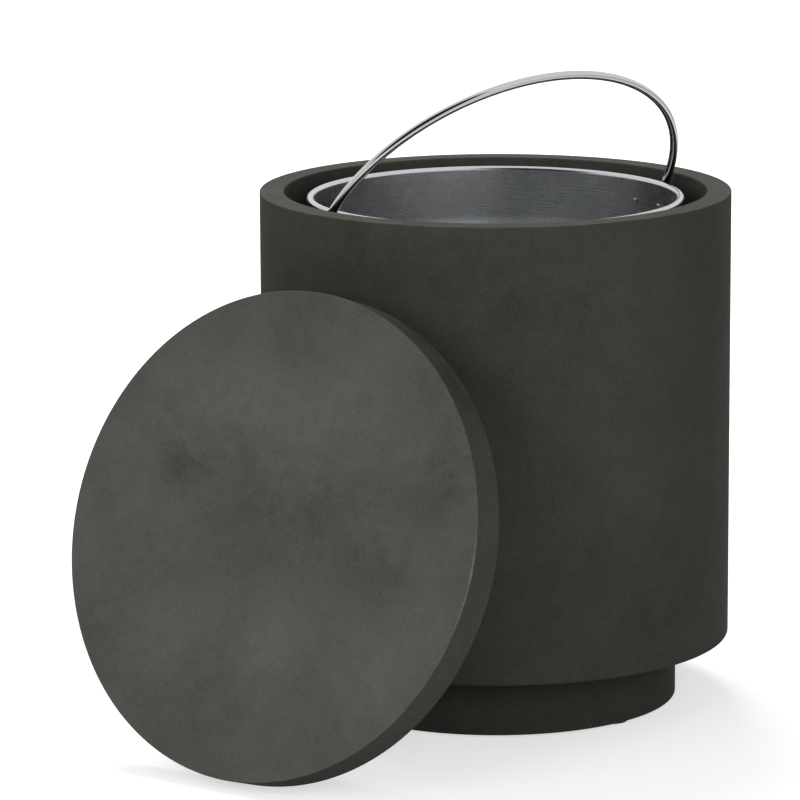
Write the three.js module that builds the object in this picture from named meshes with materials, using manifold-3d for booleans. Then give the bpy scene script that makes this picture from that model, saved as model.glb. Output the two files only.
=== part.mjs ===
// Round coffee table of cast fibre cement that hides an ice bucket. Its lid is off and leans on the drum.
// Millimetres, +Z up. The origin is the centre of the plinth's underside, and the front faces -Y.

import * as THREE from 'three';
import { mergeVertices, toCreasedNormals } from 'three/addons/utils/BufferGeometryUtils.js';
import Module from 'manifold-3d';

const wasm = await Module();
wasm.setup();

// Drum: an open tub with a thick cast wall
const drumRadius = 200;
const drumHeight = 383;
const drumWall = 21;
const drumFloor = 22;
const drumRimRound = 1;
const drumMouthRound = 1.5;
const drumFootRound = 2;
const drumInsideRound = 12;

// Plinth: a smaller cast block bonded under the drum
const plinthRadius = 155;
const plinthHeight = 54.4;
const plinthRound = 1.5;

// Glides: pads stuck in shallow pockets under the plinth
const glideCount = 4;
const glideRadius = 14;
const glideProud = 2;
const glidePocket = 1.4;
const glidePlay = 0.5;
const glideInset = 3;
const glideRound = 0.8;

// Lid: a slab with a plug under it that drops into the bucket's mouth
const lidThickness = 32.2;
const lidRound = 1;
const plugDepth = 49.2;
const plugClearance = 6;
const plugDraft = 2.5;
const plugRound = 4;
const lidPadCount = 4;
const lidPadRadius = 6;
const lidPadThickness = 1.6;
const lidPadRound = 0.6;

// How the lid leans: back from upright, and round from the front towards -X
const lidLean = THREE.MathUtils.degToRad(18.3);
const lidAround = THREE.MathUtils.degToRad(-34.5);

// Bucket: one drawn steel sheet with a straight collar and a rolled rim, on a welded foot ring
const bucketGap = 24;
const bucketRimDrop = 4.4;
const bucketSheet = 1;
const bucketCollar = 46;
const bucketTaper = 28;
const bucketBead = 3.2;
const bucketBaseRound = 9;
const footHeight = 9;
const footInset = 6;
const footSheet = 1.6;
const footFlange = 4;

// Ears: bridged straps riveted under the rolled rim, with a hole for the bail's end
const earSheet = 1.5;
const earRise = 4.5;
const earLand = 2.6;
const earDepth = 15.5;
const earWingHeight = 12;
const earBridge = 8.5;
const earRamp = 4;
const earWing = 11.5;
const earCornerRound = 4;
const earValleyRound = 2.5;

// Rivets: two to an ear
const rivetShank = 2;
const rivetHead = 3.6;
const rivetDome = 1.9;
const rivetFlat = 0.8;
const rivetPlay = 0.2;
const rivetDepth = 9.2;

// Bail: a round rod bent to a half circle, with its ends turned in through the ears
const bailRod = 3.6;
const bailStandoff = 11.5;
const bailBend = 5.5;
const bailPlay = 0.5;
const bailEndGap = 1.6;
const bailEndRound = 0.8;
const bailLean = THREE.MathUtils.degToRad(40.4);
const bailAround = THREE.MathUtils.degToRad(31.34);

// Gap between pieces that touch or are bonded, and how far a cutter runs past what it cuts
const seatGap = 0.3;
const overrun = 5;

// Facets: sides of each round piece, and steps of each rounded corner
const castSides = 88;
const bucketSides = 64;
const padSides = 20;
const rivetSides = 12;
const rodSides = 10;
const wideArcSteps = 4;
const smallArcSteps = 2;
const beadSteps = 9;
const bailSteps = 50;
const bendSteps = 4;

// Places that follow from the sizes above
const drumBase = plinthHeight;
const drumTop = drumBase + drumHeight;
const drumMouth = drumRadius - drumWall;
const floorTop = drumBase + drumFloor;
const ground = -glideProud;
const collarRadius = drumMouth - bucketGap;
const baseRadius = collarRadius - bucketTaper;
const bucketTop = drumTop - bucketRimDrop;
const bucketBase = floorTop + seatGap + footHeight;
const beadCentreRadius = collarRadius - bucketSheet + bucketBead;
const beadCentreHeight = bucketTop - bucketBead;
const collarBase = bucketTop - bucketCollar;
const pinHole = bailRod + bailPlay;
const earTop = bucketTop - 2 * bucketBead - seatGap;
const pivotHeight = earTop - earLand - pinHole;
const wingRadius = collarRadius + seatGap;
const bridgeRadius = collarRadius + earRise;
const bailRadius = collarRadius + bailStandoff;
const rivetHeight = pivotHeight - rivetDepth;
const rivetAngle = (earBridge + earRamp + earWing / 2) / collarRadius;

// Finishes
const paint = (color, roughness, metalness) => new THREE.MeshStandardMaterial({ color, roughness, metalness });
const castCement = paint(0x3a3b35, 0.86, 0);
const castFace = paint(0x4b4c47, 0.86, 0);
const foamSkin = paint(0x3a3b39, 0.7, 0);
const brushedSteel = paint(0xb9bbbd, 0.32, 1);
const chrome = paint(0xc3c3c3, 0.07, 1);
const darkRubber = paint(0x1b1b1b, 0.9, 0);
const clearPad = paint(0x6e6f6c, 0.5, 0);

// A corner of an outline: its place, the radius that rounds it, and the steps of that arc
const corner = (across, up, radius = 0, steps = smallArcSteps) => (
  { place: new THREE.Vector2(across, up), radius, steps }
);

// The arc that rounds one corner between its two neighbours. A neighbour's edge is shared half and half.
function cornerArc(before, { place, radius, steps }, after) {
  const back = before.place.clone().sub(place);
  const ahead = after.place.clone().sub(place);
  const half = back.angleTo(ahead) / 2;
  const room = Math.min(back.length(), ahead.length()) / 2;
  const round = Math.min(radius, room * Math.tan(half));
  if (round === 0) return [place];
  const middle = back.clone().normalize().add(ahead.clone().normalize()).normalize();
  const centre = place.clone().addScaledVector(middle, round / Math.sin(half));
  const start = place.clone().addScaledVector(back.normalize(), round / Math.tan(half)).sub(centre);
  const end = place.clone().addScaledVector(ahead.normalize(), round / Math.tan(half)).sub(centre);
  const sweep = Math.atan2(start.cross(end), start.dot(end));
  return Array.from({ length: steps + 1 }, (_, step) => (
    start.clone().rotateAround(new THREE.Vector2(), sweep * step / steps).add(centre)
  ));
}

// An outline with its corners rounded. An open one keeps its first and last corner sharp.
function rounded(corners, closed) {
  return corners.flatMap((here, index) => {
    const isEnd = index === 0 || index === corners.length - 1;
    if (!closed && isEnd) return [here.place];
    const before = corners.at(index - 1);
    const after = corners[(index + 1) % corners.length];
    return cornerArc(before, here, after);
  });
}

// Shared vertices only, without the slivers that a lathe leaves on its axis
function welded(geometry) {
  const bare = geometry.clone();
  bare.deleteAttribute('normal');
  bare.deleteAttribute('uv');
  const merged = mergeVertices(bare);
  const corners = merged.index.array;
  const kept = [];
  for (let at = 0; at < corners.length; at += 3) {
    const [a, b, c] = corners.subarray(at, at + 3);
    if (a !== b && b !== c && c !== a) kept.push(a, b, c);
  }
  merged.setIndex(kept);
  return merged;
}

// To and from the library that cuts and joins solids
function solidOf(geometry) {
  const mesh = welded(geometry);
  return new wasm.Manifold(new wasm.Mesh({
    numProp: 3,
    vertProperties: new Float32Array(mesh.attributes.position.array),
    triVerts: new Uint32Array(mesh.index.array),
  }));
}

function geometryOf(solid) {
  const mesh = solid.getMesh();
  const geometry = new THREE.BufferGeometry();
  geometry.setAttribute('position', new THREE.BufferAttribute(mesh.vertProperties, 3));
  geometry.setIndex(new THREE.BufferAttribute(mesh.triVerts, 1));
  return geometry;
}

// Turns an outline of (radius, height) points about +Z. The outline runs up the outside.
function turned(outline, sides) {
  return new THREE.LatheGeometry(outline, sides).rotateX(Math.PI / 2);
}

// A ring's outline meets itself.
const ring = (outline) => [...outline, outline[0]];

function extruded(outline, depth) {
  return new THREE.ExtrudeGeometry(new THREE.Shape(outline), { depth, bevelEnabled: false });
}

// A cutter for a round hole along +X, from one distance to another
function drill(radius, from, to) {
  const geometry = new THREE.CylinderGeometry(radius, radius, to - from, padSides);
  return geometry.rotateZ(Math.PI / 2).translate((from + to) / 2, 0, 0);
}

// A round pad with a soft lower edge, its top at height zero
function pad(radius, thickness, round) {
  const outline = rounded([corner(0, -thickness), corner(radius, -thickness, round), corner(radius, 0), corner(0, 0)]);
  return turned(outline, padSides);
}

function piece(name, geometry, material) {
  const crease = THREE.MathUtils.degToRad(28);
  const mesh = new THREE.Mesh(toCreasedNormals(welded(geometry), crease), material);
  mesh.name = name;
  return mesh;
}

// Cast drum: floor, outer wall with a softened rim, and a coved corner inside
function drumShell() {
  const outline = rounded([
    corner(0, drumBase),
    corner(drumRadius, drumBase, drumFootRound),
    corner(drumRadius, drumTop, drumRimRound, wideArcSteps),
    corner(drumMouth, drumTop, drumMouthRound),
    corner(drumMouth, floorTop, drumInsideRound, wideArcSteps),
    corner(0, floorTop),
  ]);
  return piece('drum_shell', turned(outline, castSides), castCement);
}

// Where the glides stand under the plinth
function glidePlaces() {
  const reach = plinthRadius - glideInset - glideRadius;
  return Array.from({ length: glideCount }, (_, index) => {
    const angle = (index + 0.5) * 2 * Math.PI / glideCount;
    return new THREE.Vector2(reach * Math.cos(angle), reach * Math.sin(angle));
  });
}

// Plinth: a plain round block with a softened lower edge, and a pocket for each glide
function plinth() {
  const outline = rounded([
    corner(0, 0),
    corner(plinthRadius, 0, plinthRound),
    corner(plinthRadius, drumBase - seatGap),
    corner(0, drumBase - seatGap),
  ]);
  const pocketed = glidePlaces().reduce((block, { x, y }) => {
    const pocket = drill(glideRadius + glidePlay, -overrun, glidePocket).rotateY(-Math.PI / 2);
    return block.subtract(solidOf(pocket.translate(x, y, 0)));
  }, solidOf(turned(outline, bucketSides)));
  return piece('plinth', geometryOf(pocketed), castCement);
}

function glides() {
  const top = glidePocket - seatGap;
  return glidePlaces().map(({ x, y }, index) => {
    const glide = piece(`glide_${index + 1}`, pad(glideRadius, top - ground, glideRound), darkRubber);
    glide.position.set(x, y, top);
    return glide;
  });
}

// The bucket's sheet: base, taper, collar and rolled rim outside, and the same again inside
function bucketOutline() {
  const start = Math.asin((beadCentreRadius - collarRadius) / bucketBead);
  const first = 1.5 * Math.PI - start;
  const sweep = 1.5 * Math.PI + start;
  const bead = Array.from({ length: beadSteps + 1 }, (_, step) => {
    const angle = first + sweep * step / beadSteps;
    return new THREE.Vector2(
      beadCentreRadius + bucketBead * Math.cos(angle),
      beadCentreHeight + bucketBead * Math.sin(angle),
    );
  });
  const outside = rounded([
    corner(0, bucketBase),
    corner(baseRadius, bucketBase, bucketBaseRound, wideArcSteps),
    corner(collarRadius, collarBase),
    corner(...bead[0]),
  ]);
  const inside = rounded([
    corner(...bead.at(-1)),
    corner(collarRadius - bucketSheet, collarBase),
    corner(baseRadius - bucketSheet, bucketBase + bucketSheet, bucketBaseRound - bucketSheet, wideArcSteps),
    corner(0, bucketBase + bucketSheet),
  ]);
  return [...outside.slice(0, -1), ...bead, ...inside.slice(1)];
}

// Rivet holes run through the collar and both ears, at the same places in each
function rivetHoles(from, to) {
  const places = [0, Math.PI].flatMap((side) => [side - rivetAngle, side + rivetAngle]);
  return places.map((angle) => (
    solidOf(drill(rivetShank + rivetPlay, from, to).rotateZ(angle).translate(0, 0, rivetHeight))
  ));
}

function bucketBody() {
  const sheet = solidOf(turned(bucketOutline(), bucketSides));
  const pierced = rivetHoles(collarRadius - overrun, collarRadius + overrun)
    .reduce((body, hole) => body.subtract(hole), sheet);
  return piece('bucket_body', geometryOf(pierced), brushedSteel);
}

// Foot ring: a hoop under the base with its lower edge turned in
function bucketFootRing() {
  const outer = baseRadius - footInset;
  const low = floorTop + seatGap;
  const high = bucketBase - seatGap;
  const outline = rounded([
    corner(outer - footSheet - footFlange, low),
    corner(outer, low, footSheet),
    corner(outer, high),
    corner(outer - footSheet, high),
    corner(outer - footSheet, low + footSheet),
    corner(outer - footSheet - footFlange, low + footSheet),
  ], true);
  return piece('bucket_foot_ring', turned(ring(outline), bucketSides), brushedSteel);
}

// The strap seen from above: wings that hug the collar, and a bridge that stands off it
function earPlan() {
  const bridge = earBridge / collarRadius;
  const rise = (earBridge + earRamp) / collarRadius;
  const tip = (earBridge + earRamp + earWing) / collarRadius;
  const shape = new THREE.Shape();
  shape.absarc(0, 0, wingRadius + earSheet, -tip, -rise);
  shape.absarc(0, 0, bridgeRadius + earSheet, -bridge, bridge);
  shape.absarc(0, 0, wingRadius + earSheet, rise, tip);
  shape.absarc(0, 0, wingRadius, tip, rise, true);
  shape.absarc(0, 0, bridgeRadius, bridge, -bridge, true);
  shape.absarc(0, 0, wingRadius, -rise, -tip, true);
  return shape.getPoints(wideArcSteps / 2);
}

// The strap seen from outside: two wings, and a round-topped tongue for the bail's end
function earFront() {
  const reach = earBridge + earRamp + earWing;
  const low = pivotHeight - earDepth;
  const shoulder = low + earWingHeight;
  const tongue = pinHole + earLand;
  return rounded([
    corner(-reach, low, earCornerRound),
    corner(reach, low, earCornerRound),
    corner(reach, shoulder, earCornerRound),
    corner(tongue, shoulder, earValleyRound),
    corner(tongue, earTop, tongue, wideArcSteps),
    corner(-tongue, earTop, tongue, wideArcSteps),
    corner(-tongue, shoulder, earValleyRound),
    corner(-reach, shoulder, earCornerRound),
  ], true);
}

// Both views meet in one solid, which is then pierced for the bail and the rivets.
function earGeometry() {
  const low = pivotHeight - earDepth - overrun;
  const high = earTop + overrun;
  const plan = solidOf(extruded(earPlan(), high - low).translate(0, 0, low));
  const outwards = new THREE.Matrix4().makeBasis(
    new THREE.Vector3(0, 1, 0),
    new THREE.Vector3(0, 0, 1),
    new THREE.Vector3(1, 0, 0),
  );
  const near = collarRadius - 2 * overrun;
  const front = solidOf(extruded(earFront(), bailRadius - near).applyMatrix4(outwards).translate(near, 0, 0));
  const eye = solidOf(drill(pinHole, collarRadius - overrun, bailRadius).translate(0, 0, pivotHeight));
  const strap = plan.intersect(front).subtract(eye);
  const pierced = rivetHoles(collarRadius - overrun, bailRadius).reduce((body, hole) => body.subtract(hole), strap);
  return geometryOf(pierced);
}

// A rivet along +X: flat head in the bucket, shank through sheet and wing, domed head outside
function rivetGeometry() {
  const inside = collarRadius - bucketSheet - seatGap;
  const outside = wingRadius + earSheet + seatGap;
  const dome = Array.from({ length: wideArcSteps }, (_, step) => {
    const angle = (Math.PI / 2) * step / wideArcSteps;
    return new THREE.Vector2(rivetHead * Math.cos(angle), outside + rivetDome * Math.sin(angle));
  });
  const outline = [
    ...rounded([
      corner(0, inside - rivetFlat),
      corner(rivetHead, inside - rivetFlat, rivetFlat / 2),
      corner(rivetHead, inside),
      corner(rivetShank, inside),
      corner(rivetShank, outside),
    ]),
    ...dome,
    new THREE.Vector2(0, outside + rivetDome),
  ];
  return turned(outline, rivetSides).rotateY(Math.PI / 2);
}

function earsAndRivets() {
  return [0, Math.PI].flatMap((side, index) => {
    const ear = piece(`bail_ear_${index + 1}`, earGeometry(), brushedSteel);
    ear.rotation.z = side;
    const rivets = [-rivetAngle, rivetAngle].map((offset, place) => {
      const rivet = piece(`ear_rivet_${2 * index + place + 1}`, rivetGeometry(), brushedSteel);
      rivet.rotation.z = side + offset;
      rivet.position.z = rivetHeight;
      return rivet;
    });
    return [ear, ...rivets];
  });
}

// The rod's centre line in the XZ plane: in through one ear, over the half circle, and in through the other
function bailLine() {
  const bendAcross = Math.sqrt((bailRadius - bailBend) ** 2 - bailBend ** 2);
  const first = Math.atan2(bailBend, bendAcross);
  const tip = new THREE.Vector2(collarRadius + bailEndGap, 0);
  const bend = Array.from({ length: bendSteps }, (_, step) => {
    const angle = -Math.PI / 2 + (first + Math.PI / 2) * step / bendSteps;
    return new THREE.Vector2(bendAcross + bailBend * Math.cos(angle), bailBend + bailBend * Math.sin(angle));
  });
  const half = [tip, ...bend];
  const arch = Array.from({ length: bailSteps + 1 }, (_, step) => {
    const angle = first + (Math.PI - 2 * first) * step / bailSteps;
    return new THREE.Vector2(bailRadius * Math.cos(angle), bailRadius * Math.sin(angle));
  });
  const mirrored = half.map((point) => new THREE.Vector2(-point.x, point.y)).reverse();
  return [...half, ...arch, ...mirrored];
}

// A round rod along a flat line: one ring of points to each place on the line, smaller ones at the softened ends
function rodGeometry(line, radius, endRound) {
  const along = (index) => {
    const before = line[Math.max(index - 1, 0)];
    const after = line[Math.min(index + 1, line.length - 1)];
    return after.clone().sub(before).normalize();
  };
  const rings = line.map((place, index) => ({ place, along: along(index), radius }));
  const shoulder = (end, inwards) => ({
    ...end,
    place: end.place.clone().addScaledVector(end.along, inwards * endRound),
  });
  const first = rings[0];
  const last = rings.at(-1);
  const all = [
    { ...first, radius: radius - endRound },
    shoulder(first, 1),
    ...rings.slice(1, -1),
    shoulder(last, -1),
    { ...last, radius: radius - endRound },
  ];
  const points = [];
  for (const { place, along: way, radius: size } of all) {
    for (let side = 0; side < rodSides; side += 1) {
      const angle = 2 * Math.PI * side / rodSides;
      const outwards = size * Math.cos(angle);
      points.push(place.x + way.y * outwards, size * Math.sin(angle), place.y - way.x * outwards);
    }
  }
  points.push(first.place.x, 0, first.place.y, last.place.x, 0, last.place.y);
  const faces = [];
  const endStart = (all.length - 1) * rodSides;
  const firstCentre = all.length * rodSides;
  for (let side = 0; side < rodSides; side += 1) {
    const next = (side + 1) % rodSides;
    for (let start = 0; start < endStart; start += rodSides) {
      const ahead = start + rodSides;
      faces.push(start + side, start + next, ahead + side, start + next, ahead + next, ahead + side);
    }
    faces.push(firstCentre, next, side);
    faces.push(firstCentre + 1, endStart + side, endStart + next);
  }
  const geometry = new THREE.BufferGeometry();
  geometry.setAttribute('position', new THREE.Float32BufferAttribute(points, 3));
  geometry.setIndex(faces);
  return geometry;
}

function bail() {
  const handle = piece('bail_handle', rodGeometry(bailLine(), bailRod, bailEndRound), chrome);
  handle.position.z = pivotHeight;
  handle.rotation.x = bailLean;
  return handle;
}

// Everything that lifts out of the drum, turned so that its ears stand where the photograph has them
function bucket() {
  const group = new THREE.Group();
  group.rotation.z = bailAround;
  group.add(bucketBody(), bucketFootRing(), ...earsAndRivets(), bail());
  return group;
}

// Lid outlines in the lid's own frame: height zero is the slab's underside
function slabOutline() {
  return rounded([
    corner(0, 0),
    corner(drumRadius, 0, lidRound),
    corner(drumRadius, lidThickness, lidRound),
    corner(0, lidThickness),
  ]);
}

function plugOutline() {
  const high = -seatGap;
  const low = high - plugDepth;
  const wide = collarRadius - bucketSheet - plugClearance;
  const narrow = wide - plugDraft;
  return rounded([
    corner(0, low),
    corner(narrow, low, plugRound, wideArcSteps),
    corner(wide, high),
    corner(0, high),
  ]);
}

function lidPads() {
  return Array.from({ length: lidPadCount }, (_, index) => {
    const angle = (index + 0.5) * 2 * Math.PI / lidPadCount;
    const reach = drumRadius - drumWall / 2;
    const cushion = piece(`lid_pad_${index + 1}`, pad(lidPadRadius, lidPadThickness, lidPadRound), clearPad);
    cushion.position.set(reach * Math.cos(angle), reach * Math.sin(angle), -seatGap);
    return cushion;
  });
}

// The lid stands on its lower edge on the ground, and its plug's upper edge rests against the drum's side.
function lid() {
  const slab = slabOutline();
  const plug = plugOutline();
  const sine = Math.sin(lidLean);
  const cosine = Math.cos(lidLean);
  const reach = Math.max(...plug.map(({ x, y }) => x * sine - y * cosine));
  const drop = Math.max(...slab.map(({ x, y }) => x * cosine - y * sine));
  const away = drumRadius + seatGap + reach;
  const group = new THREE.Group();
  group.add(piece('lid_slab', turned(slab, castSides), castFace));
  group.add(piece('lid_plug', turned(plug, bucketSides), foamSkin));
  group.add(...lidPads());
  group.position.set(away * Math.sin(lidAround), -away * Math.cos(lidAround), ground + drop);
  group.rotation.set(Math.PI / 2 - lidLean, 0, lidAround, 'ZXY');
  return group;
}

const table = new THREE.Group();
table.add(drumShell(), plinth(), ...glides(), bucket(), lid());

export default table;
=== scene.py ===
# %% [markdown]
# # A round cement table with an ice bucket inside
#
# This coffee table is a drum of dark cast cement on a smaller plinth. A steel bucket stands
# inside, its rolled rim just under the drum's, and a round slab lid closes it all. Here the
# lid is off and leans on the drum, and the bucket's chrome bail stands up over the rim.
#
# The sizes and places are already fixed by a measured frame. This lesson builds the surface
# that people see around it: smooth, softly rounded meshes, and one finish for each material.
# The frame comes first, because every piece is placed by it.

# %% Load the frame
import math

import bmesh
import bpy
from mathutils import Matrix, Vector


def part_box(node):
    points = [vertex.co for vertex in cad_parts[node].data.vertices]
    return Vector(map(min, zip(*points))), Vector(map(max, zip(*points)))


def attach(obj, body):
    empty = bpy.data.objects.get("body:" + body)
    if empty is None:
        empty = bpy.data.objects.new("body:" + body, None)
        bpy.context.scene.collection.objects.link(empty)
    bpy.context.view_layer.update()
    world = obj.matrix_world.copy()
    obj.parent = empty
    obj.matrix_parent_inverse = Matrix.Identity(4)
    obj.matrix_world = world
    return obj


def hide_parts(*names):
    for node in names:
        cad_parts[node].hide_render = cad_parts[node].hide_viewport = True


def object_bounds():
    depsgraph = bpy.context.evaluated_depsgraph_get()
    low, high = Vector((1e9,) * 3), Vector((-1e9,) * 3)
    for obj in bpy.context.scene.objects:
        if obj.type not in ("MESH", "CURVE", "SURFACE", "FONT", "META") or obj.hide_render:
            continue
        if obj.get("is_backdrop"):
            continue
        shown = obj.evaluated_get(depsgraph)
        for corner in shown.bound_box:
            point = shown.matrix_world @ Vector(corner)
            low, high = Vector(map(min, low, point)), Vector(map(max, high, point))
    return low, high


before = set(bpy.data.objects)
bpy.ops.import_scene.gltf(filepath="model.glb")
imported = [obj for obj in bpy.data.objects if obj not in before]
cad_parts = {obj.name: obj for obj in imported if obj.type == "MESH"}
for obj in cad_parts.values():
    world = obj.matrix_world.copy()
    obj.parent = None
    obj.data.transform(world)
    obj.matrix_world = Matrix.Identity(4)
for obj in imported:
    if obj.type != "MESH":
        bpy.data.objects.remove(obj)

measured_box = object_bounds()
print("frame box", [[round(x, 4) for x in corner] for corner in measured_box])

# %% [markdown]
# ## The camera
#
# The photograph was taken from about four metres away with a long lens, a little above the
# table and looking slightly down. A long lens keeps the drum's sides near parallel. The three
# turns are given as a designer would say them: how far the camera is pitched down, how far
# it is turned aside, and how far it is rolled. They are joined in that order.

# %% Camera
CAMERA_PLACE = Vector((0, -4.055, 1.0779))
CAMERA_PITCH = math.radians(11.474)
CAMERA_YAW = math.radians(-1.155)
CAMERA_ROLL = math.radians(-0.282)
CAMERA_LENS_MM = 217.54


def turn(angle, axis):
    return Matrix.Rotation(angle, 4, axis)


bpy.ops.object.camera_add()
camera = bpy.context.object
aim = turn(-CAMERA_YAW, "Z") @ turn(math.radians(90) - CAMERA_PITCH, "X") @ turn(CAMERA_ROLL, "Z")
camera.matrix_world = Matrix.Translation(CAMERA_PLACE) @ aim
camera.data.lens = CAMERA_LENS_MM
bpy.context.scene.camera = camera
print("camera", [round(x, 3) for x in camera.location], "lens", CAMERA_LENS_MM, "mm")

# %% [markdown]
# ## Tools for modelling
#
# Each piece starts as a primitive and is shaped in edit mode, as by hand. By hand you would
# click an edge loop. In a script you say where it is, so these helpers pick rings of edges
# by their radius and height, and faces by the way that they face. Everything is deselected
# first, because an operator acts on all that is selected.

# %% Begin, pick and finish a piece
NEAR = 0.0001


def begin(add, name, **size):
    """Adds a primitive by itself, settles its place into its mesh and opens it in edit mode."""
    bpy.ops.object.select_all(action="DESELECT")
    add(**size)
    piece = bpy.context.object
    piece.name = piece.data.name = name
    bpy.ops.object.transform_apply(location=True, rotation=True, scale=True)
    bpy.ops.object.mode_set(mode="EDIT")
    return piece


def pick(kind, test):
    """Selects the edges or faces that pass a test, and nothing else."""
    bpy.ops.mesh.select_mode(type=kind)
    bpy.ops.mesh.select_all(action="DESELECT")
    mesh = bmesh.from_edit_mesh(bpy.context.object.data)
    for part in mesh.edges if kind == "EDGE" else mesh.faces:
        part.select_set(test(part))
    bmesh.update_edit_mesh(bpy.context.object.data)


def pick_ring(radius, height):
    """Selects the ring of edges at one radius and height about the Z axis."""
    def on_ring(edge):
        ends = [end.co for end in edge.verts]
        return all(abs(end.xy.length - radius) < NEAR and abs(end.z - height) < NEAR for end in ends)
    pick("EDGE", on_ring)


def round_ring(radius, height, by, steps):
    """Rounds the ring of edges at one radius and height."""
    pick_ring(radius, height)
    bpy.ops.mesh.bevel(offset=by, segments=steps, profile=0.5, affect="EDGES")


def only(piece):
    bpy.ops.object.select_all(action="DESELECT")
    piece.select_set(True)
    bpy.context.view_layer.objects.active = piece


def modify(piece, kind, **settings):
    """Adds a modifier and applies it."""
    only(piece)
    modifier = piece.modifiers.new(kind, kind)
    for name, value in settings.items():
        setattr(modifier, name, value)
    bpy.ops.object.modifier_apply(modifier=modifier.name)


# %% [markdown]
# A finished mesh has its faces pointing out, no open edges, and normals that follow the
# large faces, so that a flat top stays flat right up to its rounded edge. The report line
# says how large the piece came out and whether it is closed.

# %% Settle a piece
CREASE = math.radians(32)
TO_MM = 1000
TO_CC = 1e6


def settle(piece, place=Matrix.Identity(4)):
    """Leaves edit mode, puts the piece in place and smooths its shading."""
    bpy.ops.mesh.select_all(action="SELECT")
    bpy.ops.mesh.normals_make_consistent(inside=False)
    bpy.ops.object.mode_set(mode="OBJECT")
    only(piece)
    piece.matrix_world = place
    bpy.ops.object.transform_apply(location=True, rotation=True, scale=True)
    bpy.ops.object.shade_smooth_by_angle(angle=CREASE)
    modify(piece, "WEIGHTED_NORMAL", keep_sharp=True)
    report(piece)
    return piece


def report(piece):
    mesh = bmesh.new()
    mesh.from_mesh(piece.data)
    open_edges = sum(not edge.is_manifold for edge in mesh.edges)
    volume = mesh.calc_volume(signed=True) * TO_CC
    triangles = sum(len(face.verts) - 2 for face in mesh.faces)
    size = [round(length * TO_MM, 1) for length in piece.dimensions]
    print(f"{piece.name}: {size} mm, {volume:.1f} cc, {triangles} triangles, {open_edges} open edges")
    mesh.free()


# %% [markdown]
# ## The drum
#
# The real drum is cast in a mould, upside down, with a core that leaves the hollow. So it is
# one thick-walled tub: sharp enough to look cast, with a small even round along the rim that
# the mould leaves. A cylinder with an inset top, pushed down, gives exactly that wall, and a
# bevel on each ring gives the rounds. The fine step count keeps the outline smooth.

# %% Drum
CAST_SIDES = 192
DRUM_WALL = 0.021
DRUM_FLOOR = 0.022
DRUM_RIM_ROUND = 0.001
DRUM_MOUTH_ROUND = 0.0015
DRUM_FOOT_ROUND = 0.002
DRUM_COVE = 0.012
FINE_STEPS = 6
COVE_STEPS = 10
FACING = 0.9

drum_low, drum_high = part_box("drum_shell")
DRUM_RADIUS = (drum_high.x - drum_low.x) / 2
DRUM_BASE = drum_low.z
DRUM_TOP = drum_high.z
DRUM_MOUTH = DRUM_RADIUS - DRUM_WALL


def up(face):
    return face.normal.z > FACING


drum = begin(
    bpy.ops.mesh.primitive_cylinder_add, "drum", vertices=CAST_SIDES, radius=DRUM_RADIUS,
    depth=DRUM_TOP - DRUM_BASE, location=(0, 0, (DRUM_TOP + DRUM_BASE) / 2),
)
pick("FACE", up)
bpy.ops.mesh.inset(thickness=DRUM_WALL)
push = DRUM_TOP - DRUM_BASE - DRUM_FLOOR
bpy.ops.mesh.extrude_region_move(TRANSFORM_OT_translate={"value": (0, 0, -push)})
round_ring(DRUM_RADIUS, DRUM_TOP, DRUM_RIM_ROUND, FINE_STEPS)
round_ring(DRUM_MOUTH, DRUM_TOP, DRUM_MOUTH_ROUND, FINE_STEPS)
round_ring(DRUM_MOUTH, DRUM_BASE + DRUM_FLOOR, DRUM_COVE, COVE_STEPS)
round_ring(DRUM_RADIUS, DRUM_BASE, DRUM_FOOT_ROUND, FINE_STEPS)
settle(drum)

# %% [markdown]
# ## The plinth and its glides
#
# The drum stands on a smaller cast block, set back so far that the table seems to float on
# its own shadow. Four rubber glides sit in shallow pockets under it. The pockets are cut
# with a boolean, because an inset would have to be lined up with the many-sided face by
# hand. One glide is modelled, and the other three are copies with a mesh of their own.

# %% Plinth
PLINTH_ROUND = 0.0015
GLIDE_POCKET = 0.0014
GLIDE_PLAY = 0.0005
SMALL_SIDES = 48
GLIDES = [f"glide_{index + 1}" for index in range(4)]


def middle_of(node):
    low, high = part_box(node)
    return (low + high) / 2


def width_of(node):
    low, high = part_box(node)
    return high.x - low.x


def cut_away(piece, cutter):
    """Cuts one piece out of another, which uses the cutter up."""
    modify(piece, "BOOLEAN", operation="DIFFERENCE", object=cutter, solver="EXACT")
    bpy.data.objects.remove(cutter)
    bpy.ops.object.mode_set(mode="EDIT")


plinth_low, plinth_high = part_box("plinth")
plinth_radius = width_of("plinth") / 2
plinth = begin(
    bpy.ops.mesh.primitive_cylinder_add, "plinth_block", vertices=CAST_SIDES, radius=plinth_radius,
    depth=plinth_high.z - plinth_low.z, location=(0, 0, middle_of("plinth").z),
)
round_ring(plinth_radius, plinth_low.z, PLINTH_ROUND, FINE_STEPS)
bpy.ops.object.mode_set(mode="OBJECT")
for node in GLIDES:
    spot = middle_of(node)
    pocket = begin(
        bpy.ops.mesh.primitive_cylinder_add, "pocket", vertices=SMALL_SIDES,
        radius=width_of(node) / 2 + GLIDE_PLAY, depth=2 * GLIDE_POCKET, location=(spot.x, spot.y, 0),
    )
    bpy.ops.object.mode_set(mode="OBJECT")
    cut_away(plinth, pocket)
    bpy.ops.object.mode_set(mode="OBJECT")
only(plinth)
bpy.ops.object.mode_set(mode="EDIT")
settle(plinth)

# %% Glides
GLIDE_ROUND = 0.0008
SMALL_STEPS = 4


def copy_of(piece, name, move):
    """A copy with a mesh of its own, moved or turned."""
    copy = piece.copy()
    copy.data = piece.data.copy()
    copy.name = copy.data.name = name
    copy.data.transform(move)
    bpy.context.collection.objects.link(copy)
    return copy


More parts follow.
